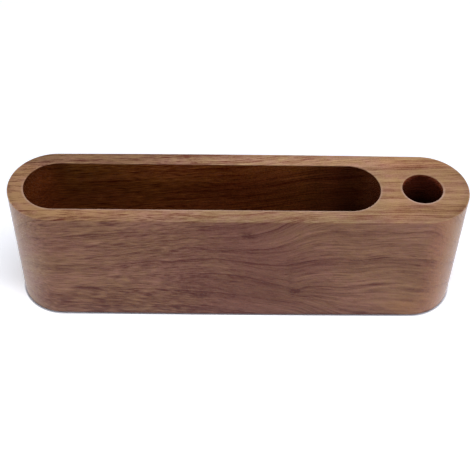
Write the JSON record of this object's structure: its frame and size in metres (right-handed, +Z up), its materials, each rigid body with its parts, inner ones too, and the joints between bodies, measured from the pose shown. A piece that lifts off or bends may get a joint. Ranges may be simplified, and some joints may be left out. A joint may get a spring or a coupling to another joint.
{
  "type": "business card and pen holder",
  "caption": "Round-ended wooden desk block with a long card pocket and a round pen hole in its top, standing on small anti-slip pads.",
  "frame": {"origin": "on the desk, under the middle of the block: centre of the bounding box's bottom face", "axes": "+X along the block towards the pen hole, +Y across it towards the rear, +Z up"},
  "size_m": [0.13, 0.027, 0.041],
  "materials": {
    "walnut": "fine-sanded and lightly oiled, satin",
    "pad_rubber": "matte"
  },
  "bodies": {
    "root": {"walnut_block": "walnut", "foot_pad_front_left": "pad_rubber", "foot_pad_rear_left": "pad_rubber", "foot_pad_front_right": "pad_rubber", "foot_pad_rear_right": "pad_rubber"}
  },
  "joints": []
}
